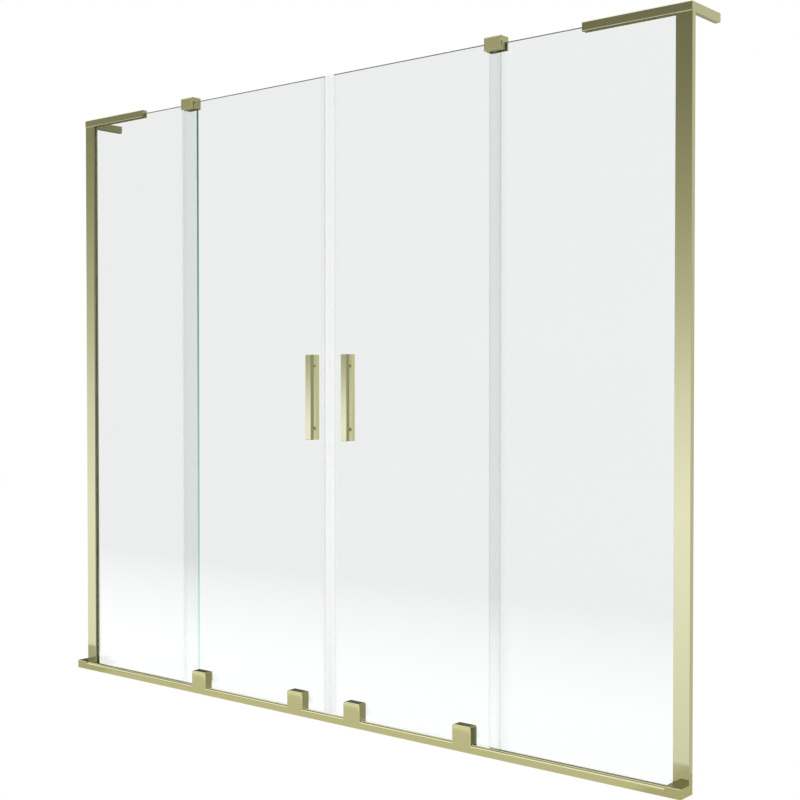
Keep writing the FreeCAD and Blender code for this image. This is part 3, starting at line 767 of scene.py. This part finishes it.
@dataclass
class Sill(Assembly):
    """The bottom rail between its two end blocks, with the buffers that stop the doors."""

    nose_round: float = 0.0035
    buffer_round: float = 0.0010

    def build(self) -> None:
        """Builds the meshes of the assembly's soft and small pieces."""
        for side in Side:
            self.build_buffer(side)

    def build_buffer(self, side: Side) -> None:
        """Builds a buffer with a round nose towards the trolley that it stops.

        Args:
            side: The half of the screen that it stands in.
        """
        low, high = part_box(f"{side.value}_rail_stop")
        nose, tail = sorted((low.x, high.x), key=abs)
        outline = rounded([
            Corner(nose, low.y, self.nose_round), Corner(nose, high.y, self.nose_round),
            Corner(tail, high.y, self.buffer_round), Corner(tail, low.y, self.buffer_round),
        ])
        strip = Strip([outline], low.z, high.z, Run.UPRIGHT)
        buffer = make_piece(f"{side.value}_rail_buffer", [strip])
        self.fit(buffer, "frame", "grey_seal", RUBBER, in_glass=False)
        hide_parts(f"{side.value}_rail_stop")

    def dress(self) -> None:
        """Gives every other piece of the assembly its finish."""
        self.finish("bottom_rail", RAIL_GOLD, in_glass=False)
        self.finish("set_screws", STEEL)
        self.finish("guide_screws", STEEL)
        for side in Side:
            self.finish(f"{side.value}_end_block", RAIL_GOLD)


@dataclass
class FixedPanel(Assembly):
    """A fixed pane with its wall profile, gasket, bed, bracket and guide."""

    side: Side = Side.LEFT
    lip_round: float = 0.0011
    thin_lip_round: float = 0.0004
    base_round: float = 0.0006
    cap_depth: float = 0.0020
    cap_chamfer: float = 0.0001

    def build(self) -> None:
        """Builds the meshes of the assembly's soft and small pieces."""
        self.build_gasket()
        self.build_bed()
        self.build_screw_caps()

    def build_gasket(self) -> None:
        """Builds the gasket that grips the pane in its wall profile, with two round lips."""
        node = f"{self.side.value}_glazing_gasket"
        low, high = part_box(node)
        pane_low, pane_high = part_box(f"{self.side.value}_fixed_glass")
        mouth, base = sorted((low.x, high.x), key=abs)
        floor = max(pane_low.x, pane_high.x, key=abs)
        outline = rounded([
            Corner(mouth, low.y, self.lip_round), Corner(mouth, pane_low.y, self.lip_round),
            Corner(floor, pane_low.y), Corner(floor, pane_high.y),
            Corner(mouth, pane_high.y, self.thin_lip_round),
            Corner(mouth, high.y, self.thin_lip_round),
            Corner(base, high.y, self.base_round), Corner(base, low.y, self.base_round),
        ])
        strip = Strip([outline], low.z, high.z, Run.UPRIGHT)
        gasket = make_piece(f"{self.side.value}_pane_gasket", [strip])
        self.fit(gasket, "frame", "grey_seal", LIGHTENED_GASKET)
        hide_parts(node)

    def build_bed(self) -> None:
        """Builds the bed that the pane stands in, with round lips against the glass."""
        node = f"{self.side.value}_bed_seal"
        low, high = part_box(node)
        pane_low, pane_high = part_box(f"{self.side.value}_fixed_glass")
        outline = rounded([
            Corner(low.y, low.z, self.base_round), Corner(high.y, low.z, self.base_round),
            Corner(high.y, high.z, self.lip_round),
            Corner(pane_high.y, high.z, self.thin_lip_round),
            Corner(pane_high.y, pane_low.z), Corner(pane_low.y, pane_low.z),
            Corner(pane_low.y, high.z, self.thin_lip_round),
            Corner(low.y, high.z, self.lip_round),
        ])
        strip = Strip([outline], low.x, high.x, Run.ALONG)
        bed = make_piece(f"{self.side.value}_pane_bed", [strip])
        self.fit(bed, "frame", "grey_seal", BRONZE_NYLON)
        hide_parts(node)

    def build_screw_caps(self) -> None:
        """Builds the caps that fill the wall screw holes, flush with the profile's outer face."""
        mounts = {mount["name"]: mount for mount in frame["record"]["mounts"]}
        holes = mounts[f"{self.side.value}_wall_screws"]
        half_pitch = holes["dims"]["spacing_y_mm"] * MILLIMETRE / 2
        radius = holes["dims"]["hole_r_mm"] * MILLIMETRE
        caps = []
        for level in (-half_pitch, 0.0, half_pitch):
            centre = Vector(holes["pos_m"]) + Vector((0.0, 0.0, level))
            caps.append(Button(centre, self.side.sign, radius, self.cap_depth, self.cap_chamfer))
        piece = make_piece(f"{self.side.value}_screw_caps", caps)
        self.fit(piece, "frame", "brushed_gold", UPRIGHT_GOLD)

    def dress(self) -> None:
        """Gives every other piece of the assembly its finish."""
        finishes = {
            "wall_profile": UPRIGHT_GOLD,
            "fixed_glass": FIXED_GLASS,
            "top_bracket": BRACKET_GOLD,
            "bracket_liner": BRONZE_NYLON,
            "top_guide": GUIDE_GOLD,
            "guide_insert": GOLD_NYLON,
        }
        for name, finish in finishes.items():
            self.finish(f"{self.side.value}_{name}", finish)


@dataclass
class SlidingDoor(Assembly):
    """A sliding pane with its pull handles and the seals on three of its edges."""

    side: Side = Side.LEFT
    seal_wall: float = 0.0012
    nose_round: float = 0.0014
    cell_round: float = 0.0006
    hollow_round: float = 0.0018
    lip_round: float = 0.0005
    drip_wall: float = 0.0015
    drip_slant: float = 0.0020

    @property
    def body(self) -> str:
        """The body that the door's pieces ride on."""
        return f"{self.side.value}_door"

    def build(self) -> None:
        """Builds the meshes of the assembly's soft and small pieces."""
        self.build_meeting_seal()
        self.build_outer_fin()
        self.build_drip_strip()

    def build_meeting_seal(self) -> None:
        """Builds the seal where the doors meet: a grip, a hollow and a cell for the magnet."""
        node = f"{self.side.value}_magnet_seal"
        low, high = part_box(node)
        pane_low, pane_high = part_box(f"{self.side.value}_door_glass")
        magnet_low, magnet_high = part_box(f"{self.side.value}_magnet_strip")
        nose, lap = sorted((low.x, high.x), key=abs)
        rim = min(pane_low.x, pane_high.x, key=abs)
        magnet_far = max(magnet_low.x, magnet_high.x, key=abs)
        wall = self.side.sign * self.seal_wall
        outer = rounded([
            Corner(nose, low.y, self.nose_round), Corner(nose, high.y, self.nose_round),
            Corner(lap, high.y, self.lip_round), Corner(lap, pane_high.y, self.lip_round),
            Corner(rim, pane_high.y), Corner(rim, pane_low.y),
            Corner(lap, pane_low.y, self.lip_round), Corner(lap, low.y, self.lip_round),
        ])
        cell = rectangle(
            (magnet_low.x, magnet_high.x), (magnet_low.y, magnet_high.y), self.cell_round,
        )
        hollow = rectangle(
            (magnet_far + wall, rim - wall), (pane_low.y, pane_high.y), self.hollow_round,
        )
        strip = Strip([outer, cell, hollow], low.z, high.z, Run.UPRIGHT)
        seal = make_piece(f"{self.side.value}_meeting_seal", [strip])
        self.fit(seal, self.body, "clear_seal", VINYL)
        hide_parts(node)

    def build_outer_fin(self) -> None:
        """Builds the fin on the door's outer edge, which reaches back to the fixed pane."""
        node = f"{self.side.value}_edge_seal"
        low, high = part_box(node)
        pane_low, pane_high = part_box(f"{self.side.value}_door_glass")
        lap, nose = sorted((low.x, high.x), key=abs)
        rim = max(pane_low.x, pane_high.x, key=abs)
        fin = nose - self.side.sign * self.seal_wall
        back = pane_high.y + self.seal_wall
        outline = rounded([
            Corner(lap, low.y, self.lip_round), Corner(nose, low.y, self.nose_round),
            Corner(nose, high.y, self.lip_round), Corner(fin, high.y, self.lip_round),
            Corner(fin, back, self.nose_round), Corner(lap, back, self.lip_round),
            Corner(lap, pane_high.y, self.lip_round), Corner(rim, pane_high.y),
            Corner(rim, pane_low.y), Corner(lap, pane_low.y, self.lip_round),
        ])
        strip = Strip([outline], low.z, high.z, Run.UPRIGHT)
        seal = make_piece(f"{self.side.value}_outer_fin", [strip])
        self.fit(seal, self.body, "clear_seal", VINYL)
        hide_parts(node)

    def build_drip_strip(self) -> None:
        """Builds the strip under the pane, with a slanted lip that throws drips into the bath."""
        node = f"{self.side.value}_drip_seal"
        low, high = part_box(node)
        pane_low, pane_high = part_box(f"{self.side.value}_door_glass")
        base = pane_low.z - self.drip_wall
        back = pane_high.y + self.drip_wall
        outline = rounded([
            Corner(low.y, base, self.nose_round), Corner(low.y, high.z, self.lip_round),
            Corner(pane_low.y, high.z, self.lip_round), Corner(pane_low.y, pane_low.z),
            Corner(pane_high.y, pane_low.z), Corner(pane_high.y, high.z, self.lip_round),
            Corner(back, high.z, self.lip_round), Corner(back, base, self.nose_round),
            Corner(back + self.drip_slant, low.z, self.lip_round),
            Corner(pane_high.y + self.drip_slant, low.z, self.lip_round),
            Corner(pane_high.y, base, self.nose_round),
        ])
        strip = Strip([outline], low.x, high.x, Run.ALONG)
        seal = make_piece(f"{self.side.value}_drip_strip", [strip])
        self.fit(seal, self.body, "clear_seal", VINYL_ALONG)
        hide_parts(node)

    def dress(self) -> None:
        """Gives every other piece of the assembly its finish."""
        finishes = {
            "door_glass": DOOR_GLASS,
            "rear_handle": LIT_REAR_GOLD,
            "handle_studs": UPRIGHT_GOLD,
            "handle_washers": CLEAR_NYLON,
            "magnet_strip": MILKY_VINYL,
        }
        for name, finish in finishes.items():
            self.finish(f"{self.side.value}_{name}", finish)
        self.finish(f"{self.side.value}_front_handle", HANDLE_GOLD, in_glass=False)


@dataclass
class Trolleys(Assembly):
    """The two trolleys that carry a door along the rail, with the pads that grip its pane."""

    side: Side = Side.LEFT
    pad_inset: float = 0.0010
    pad_round: float = 0.0025
    screw_spread: float = 0.0070
    screw_radius: float = 0.0025

    def build(self) -> None:
        """Builds the meshes of the assembly's soft and small pieces."""
        node = f"{self.side.value}_trolley_pads"
        pads = [pad for place in Place for pad in self.pads(place, node)]
        piece = make_piece(f"{self.side.value}_clamp_pads", pads)
        self.fit(piece, f"{self.side.value}_door", "grey_seal", RUBBER)
        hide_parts(node)

    def pads(self, place: Place, node: str) -> list[Strip]:
        """Gives the two pads of one trolley, in front of the pane and behind it.

        Args:
            place: Which trolley they belong to.
            node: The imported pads.

        Returns:
            The pads, each with its two screw holes.
        """
        plate_low, plate_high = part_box(f"{self.side.value}_{place.value}_clamp_plate")
        screw_low, screw_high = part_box(f"{self.side.value}_trolley_screws")
        pane_low, pane_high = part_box(f"{self.side.value}_door_glass")
        low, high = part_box(node)
        middle = (plate_low.x + plate_high.x) / 2
        level = (screw_low.z + screw_high.z) / 2
        outline = rectangle(
            (plate_low.x + self.pad_inset, plate_high.x - self.pad_inset),
            (plate_low.z + self.pad_inset, plate_high.z - self.pad_inset), self.pad_round,
        )
        screws = (middle - self.screw_spread, middle + self.screw_spread)
        holes = [circle((screw, level), self.screw_radius) for screw in screws]
        depths = ((low.y, pane_low.y), (pane_high.y, high.y))
        return [Strip([outline, *holes], *depth, Run.DEEP) for depth in depths]

    def dress(self) -> None:
        """Gives every other piece of the assembly its finish."""
        side = self.side.value
        self.finish(f"{side}_trolley_screws", STEEL)
        self.finish(f"{side}_roller_axles", STEEL)
        for place in Place:
            self.finish(f"{side}_{place.value}_trolley", RAIL_GOLD, in_glass=False)
            self.finish(f"{side}_{place.value}_clamp_plate", RAIL_GOLD)
            self.finish(f"{side}_{place.value}_roller", NYLON)


@dataclass
class Studio:
    """A white room with a pale floor, boards that the metal mirrors, and a soft lamp."""

    floor_size: float = 14.0
    floor_drop: float = 0.0005
    floor_colour: float = 0.85
    shadow_depth: float = 0.035
    floor_lift: float = 0.9640
    strip_half: float = 0.16
    strip_colour: Colour = (0.58, 0.57, 0.48)
    painted_end_shade: Colour = (0.47, 0.46, 0.35)
    strip_reach: Span = (0.80, 0.84)
    painted_glow: Span = (2.15, 0.05)
    painted_glow_reach: Span = (0.35, 1.68)
    front_levels: Levels = (
        (-0.50, 0.600), (-0.274, 0.774), (-0.237, 0.827), (-0.165, 0.936), (-0.09, 0.985),
        (-0.016, 0.82), (0.058, 0.55), (0.132, 0.36), (0.204, 0.235), (0.26, 0.175),
    )
    back_levels: Levels = (
        (0.58, 0.20), (0.625, 0.26), (0.655, 0.48), (0.69, 0.56),
        (0.74, 0.66), (0.78, 0.60), (0.891, 0.57), (1.0, 0.60),
    )
    back_fade: Levels = ((-0.55, 0.38), (-0.41, 1.0))
    back_lean: float = 0.2
    front_fade: Levels = ((0.6, 0.95), (0.9, 1.0))
    side_band: float = 0.2
    canopy_edge: Span = (0.28, 0.50)
    canopy_back: Span = (0.62, 0.30)
    warm_blue: float = 0.72
    warm_range: Span = (0.3, 0.9)
    dim: float = 0.05
    lamp_strength: float = 1.0
    lamp_width: float = 50.0
    lamp_turn: Point = (32.0, 0.0, 12.0)

    def build_floor(self) -> None:
        """Makes the floor, just under the screen."""
        half = self.floor_size / 2
        corners = [(-half, -half), (half, -half), (half, half), (-half, half)]
        mesh = bpy.data.meshes.new("floor")
        mesh.from_pydata([(x, y, -self.floor_drop) for x, y in corners], [], [(0, 1, 2, 3)])
        floor = bpy.data.objects.new("floor", mesh)
        bpy.context.scene.collection.objects.link(floor)
        material = bpy.data.materials.new("pale_floor")
        material.use_nodes = True
        self.lay_floor(Bench(material.node_tree))
        mesh.materials.append(material)

    def lay_floor(self, bench: Bench) -> None:
        """Lays out the floor's finish: white with a faint shadow, a painted reflection that glows
        in the glass, and a strip in the metal with painted shade at its ends.

        Args:
            bench: Where the nodes go.
        """
        path = bench.node("ShaderNodeLightPath").outputs
        in_glass = bench.math("MULTIPLY", path["Is Glossy Ray"], path["Is Singular Ray"])
        in_metal = bench.math("SUBTRACT", path["Is Glossy Ray"], in_glass)
        place = bench.node("ShaderNodeTexCoord").outputs["Object"]
        spot = bench.node("ShaderNodeSeparateXYZ", Vector=place).outputs
        along = bench.math("ABSOLUTE", spot["X"])
        ahead = bench.math("ABSOLUTE", spot["Y"])
        # To the eye the floor is white, less what the screen's shadow takes away.
        tone = bench.spread(path["Is Camera Ray"], self.floor_colour, self.shadow_depth)
        lit = bench.node("ShaderNodeBsdfDiffuse", Color=tone)
        lift = bench.math("MULTIPLY", path["Is Camera Ray"], self.floor_lift)
        lifted = bench.node("ShaderNodeEmission", Strength=lift)
        to_eye = bench.node("ShaderNodeAddShader")
        bench.feed(to_eye.inputs[0], lit.outputs[0])
        bench.feed(to_eye.inputs[1], lifted.outputs[0])
        # Painted reflection: to the glass the floor glows brighter than white near the screen, and
        # fades away from it.
        fade = bench.spread(ahead, *self.painted_glow, *self.painted_glow_reach)
        painted_glow = bench.node("ShaderNodeEmission", Strength=fade)
        shown = bench.layer(in_glass, to_eye.outputs[0], painted_glow.outputs[0])
        # In the metal only a strip under the screen shows, and the room shows past it; painted
        # shade of the end blocks darkens the strip towards its ends.
        out = bench.spread(along, 0.0, 1.0, *self.strip_reach)
        rim = bench.shade(out, self.strip_colour, self.painted_end_shade)
        strip = bench.node("ShaderNodeEmission", Color=rim)
        past = bench.node("ShaderNodeBsdfTransparent")
        near = bench.math("MULTIPLY", in_metal, bench.math("LESS_THAN", ahead, self.strip_half))
        passed = bench.layer(near, past.outputs[0], strip.outputs[0])
        unseen = bench.math("MAXIMUM", in_metal, path["Is Shadow Ray"])
        bench.surface(bench.layer(unseen, shown, passed))

    def tone(self, level: float) -> Colour:
        """Gives a grey of the room, a little warmer where it is dark.

        Args:
            level: How bright it is.

        Returns:
            The colour.
        """
        low, high = self.warm_range
        share = min(max((level - low) / (high - low), 0.0), 1.0)
        return (level, level, level * (self.warm_blue + (1.0 - self.warm_blue) * share))

    def ramp(self, bench: Bench, value: Socket, levels: Levels) -> Socket:
        """Makes a run of greys.

        Args:
            bench: Where the nodes go.
            value: The place along the run.
            levels: Places and how bright each is.

        Returns:
            The grey at that place.
        """
        low, high = levels[0][0], levels[-1][0]
        made = bench.node("ShaderNodeValToRGB", Fac=bench.spread(value, 0.0, 1.0, low, high))
        stops = made.color_ramp.elements
        for index, (place, level) in enumerate(levels):
            share = (place - low) / (high - low)
            stop = stops[index] if index < len(stops) else stops.new(share)
            stop.position = share
            stop.color = (*self.tone(level), 1.0)
        return made.outputs[0]

    def build_world(self) -> None:
        """Makes the white backdrop, and the boards and canopy that the metal mirrors."""
        world = bpy.data.worlds.new("white_room")
        world.use_nodes = True
        bpy.context.scene.world = world
        bench = Bench(world.node_tree)
        facing = bench.node("ShaderNodeTexCoord").outputs["Generated"]
        x, y, z = bench.node("ShaderNodeSeparateXYZ", Vector=facing).outputs
        level = bench.node("ShaderNodeCombineXYZ", X=x, Y=y).outputs[0]
        length = bench.node("ShaderNodeVectorMath", {"operation": "LENGTH"}, Vector=level)
        turned = bench.math("DIVIDE", y, length.outputs["Value"])
        # The board behind the bath screen changes from side to side, and is dusky at its far left.
        (far_left, dusk), (middle, day) = self.back_fade
        across = bench.math("ADD", x, bench.math("MULTIPLY", z, self.back_lean))
        daylight = bench.spread(across, dusk, day, far_left, middle)
        back = bench.shade(daylight, BLACK, self.ramp(bench, turned, self.back_levels))
        # The board in front of it changes from the floor upwards.
        (near_side, dimmer), (ahead, full) = self.front_fade
        fade = bench.spread(bench.math("MULTIPLY", y, -1.0), dimmer, full, near_side, ahead)
        front = bench.shade(fade, BLACK, self.ramp(bench, z, self.front_levels))
        behind = bench.spread(y, 0.0, 1.0, -self.side_band, self.side_band)
        walls = bench.shade(behind, front, back)
        overhead = bench.spread(z, 0.0, 1.0, *self.canopy_edge)
        canopy = bench.math("MULTIPLY", overhead, bench.spread(y, 0.0, 1.0, *self.canopy_back))
        room = bench.shade(canopy, walls, WHITE)
        # The eye sees plain white, the glass mirrors a dim room, and the metal the boards.
        path = bench.node("ShaderNodeLightPath").outputs
        mirrored = bench.shade(path["Is Singular Ray"], room, (self.dim,) * 3)
        seen = bench.shade(path["Is Camera Ray"], mirrored, WHITE)
        light = bench.node("ShaderNodeBackground", Color=seen)
        bench.node("ShaderNodeOutputWorld", Surface=light.outputs[0])

    def build_lamp(self) -> None:
        """Hangs the soft lamp in front of the screen."""
        light = bpy.data.lights.new("soft_lamp", "SUN")
        light.energy = self.lamp_strength
        light.angle = math.radians(self.lamp_width)
        lamp = bpy.data.objects.new("soft_lamp", light)
        lamp.rotation_euler = [math.radians(turn) for turn in self.lamp_turn]
        lamp.visible_glossy = False
        bpy.context.scene.collection.objects.link(lamp)

    def build(self) -> None:
        """Builds the whole studio."""
        self.build_floor()
        self.build_world()
        self.build_lamp()
        LOG.info("studio: floor, backdrop and lamp")


@dataclass
class PhotoCamera:
    """The camera of the photograph: to the right of the screen, level with its handles."""

    place: Point = (2.1132, -2.2701, 0.7867)
    turn: float = 39.751
    tilt: float = 1.118
    lens: float = 60.39
    rise: float = 0.0089

    def build(self) -> None:
        """Makes the camera and looks through it."""
        data = bpy.data.cameras.new("photo_camera")
        data.lens = self.lens
        data.shift_y = self.rise
        camera = bpy.data.objects.new("photo_camera", data)
        camera.location = self.place
        camera.rotation_euler = (math.radians(90.0 - self.tilt), 0.0, math.radians(self.turn))
        bpy.context.scene.collection.objects.link(camera)
        bpy.context.scene.camera = camera
        LOG.info("camera: %.1f mm lens", self.lens)


def main() -> None:
    """Builds and dresses the screen, then the studio and the camera."""
    logging.basicConfig(level=logging.INFO, format="%(name)s: %(message)s")
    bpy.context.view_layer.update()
    assemblies: list[Assembly] = [Sill()]
    for side in Side:
        assemblies += [FixedPanel(side=side), SlidingDoor(side=side), Trolleys(side=side)]
    for assembly in assemblies:
        assembly.build()
        assembly.dress()
    Studio().build()
    PhotoCamera().build()
    bpy.context.scene.view_settings.view_transform = "Standard"
    bpy.context.scene.cycles.transparent_max_bounces = CLEAR_LAYERS


if __name__ == "__main__":
    main()
